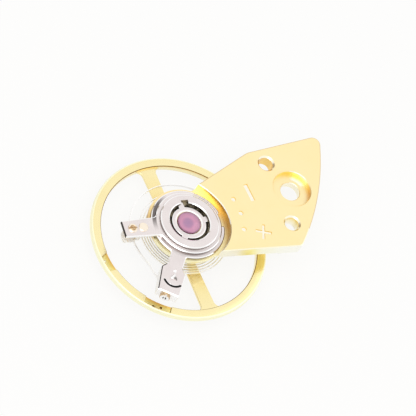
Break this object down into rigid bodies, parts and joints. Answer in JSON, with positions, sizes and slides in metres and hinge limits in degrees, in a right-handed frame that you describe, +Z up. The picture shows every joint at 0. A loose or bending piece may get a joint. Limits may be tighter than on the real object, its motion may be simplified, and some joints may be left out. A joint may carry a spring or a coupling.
{
  "type": "watch balance with cock",
  "caption": "Mechanical watch balance wheel on its staff, hung with its hairspring, regulator and shock-set jewels in a flat gilt cock.",
  "frame": {"origin": "tip of the balance staff's lower pivot, on the balance axis", "axes": "+Z up the balance axis from the lower pivot to the cap jewel, +X from the axis towards the cock's screw hole"},
  "size_m": [0.0147, 0.01, 0.0033],
  "materials": {
    "gilt_plate": "fine satin gilt",
    "gilt_wheel": "polished gilt alloy",
    "brass_post": "polished",
    "polished_steel": "bright satin",
    "spring_steel": "polished",
    "staff_steel": "burnished",
    "ruby": "polished"
  },
  "bodies": {
    "cock": {"balance_cock": "gilt_plate", "shock_block": "polished_steel"},
    "stud_carrier": {"stud_carrier": "polished_steel", "hairspring_stud": "polished_steel", "stud_screw": "polished_steel", "hairspring": "spring_steel"},
    "balance": {"balance_wheel": "gilt_wheel", "balance_staff": "staff_steel", "impulse_roller": "polished_steel", "safety_roller": "polished_steel", "impulse_jewel": "ruby", "hairspring_collet": "brass_post"},
    "regulator": {"regulator_index": "polished_steel", "curb_pin": "brass_post"},
    "regulator_key": {"regulator_key": "brass_post"},
    "shock_spring": {"shock_spring": "polished_steel"},
    "jewel_setting": {"jewel_setting": "gilt_plate", "cap_jewel": "ruby", "hole_jewel": "ruby"}
  },
  "joints": [
    {"name": "stud_carrier_turn", "type": "hinge", "parent": "cock", "child": "stud_carrier", "pos_m": [0, 0, 0.00298], "axis": [0, 0, 1], "range_deg": [-12, 12]},
    {"name": "balance_swing", "type": "hinge", "parent": "stud_carrier", "child": "balance", "pos_m": [0, 0, 0.0014], "axis": [0, 0, 1], "range_deg": [-270, 270], "stiffness_Nm_per_rad": 0.000000437, "deforming": ["hairspring"]},
    {"name": "regulator_turn", "type": "hinge", "parent": "cock", "child": "regulator", "pos_m": [0, 0, 0.00313], "axis": [0, 0, 1], "range_deg": [-12, 12]},
    {"name": "regulator_key_turn", "type": "hinge", "parent": "regulator", "child": "regulator_key", "pos_m": [-0.0033, 0.0006, 0.00313], "axis": [0, 0, 1], "range_deg": [0, 90]},
    {"name": "shock_spring_turn", "type": "hinge", "parent": "cock", "child": "shock_spring", "pos_m": [0, 0, 0.0031], "axis": [0, 0, 1], "range_deg": [-10, 20]},
    {"name": "jewel_setting_lift", "type": "slide", "parent": "cock", "child": "jewel_setting", "axis": [0, 0, 1], "range_m": [0, 0.00005], "stiffness_N_per_m": 0.3, "springref_m": -0.0005, "deforming": ["shock_spring"]}
  ]
}
